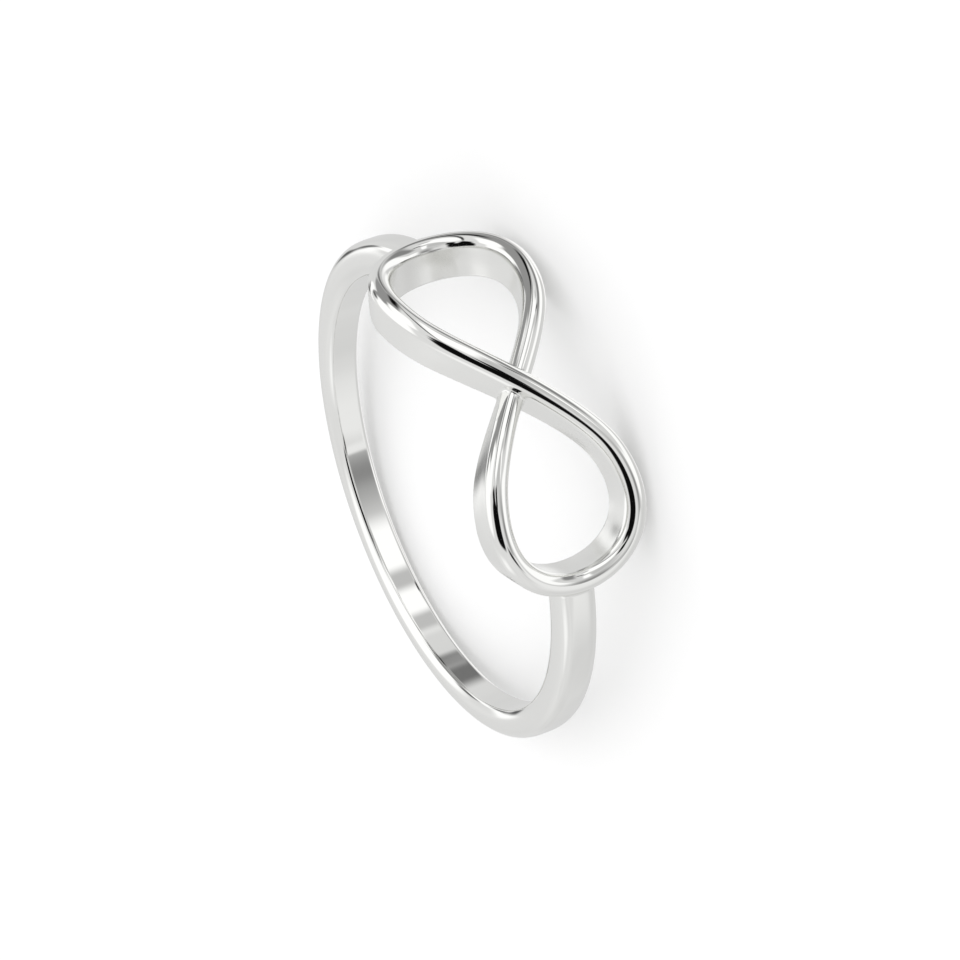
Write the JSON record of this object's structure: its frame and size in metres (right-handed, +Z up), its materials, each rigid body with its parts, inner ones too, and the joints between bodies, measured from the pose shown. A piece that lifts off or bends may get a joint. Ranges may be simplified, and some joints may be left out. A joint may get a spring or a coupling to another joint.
{
  "type": "infinity ring",
  "caption": "Plain silver finger ring: a rounded hoop whose ends run into an infinity sign of flat wire that is bent round the finger and crosses over itself.",
  "frame": {"origin": "centre of the lying ring's box, on the surface that it lies on", "axes": "+Z up from that surface, -Y towards the infinity sign, +X along the sign"},
  "size_m": [0.0198, 0.0198, 0.0063],
  "materials": {
    "silver": "polished"
  },
  "bodies": {
    "root": {"infinity_ring": "silver"}
  },
  "joints": []
}
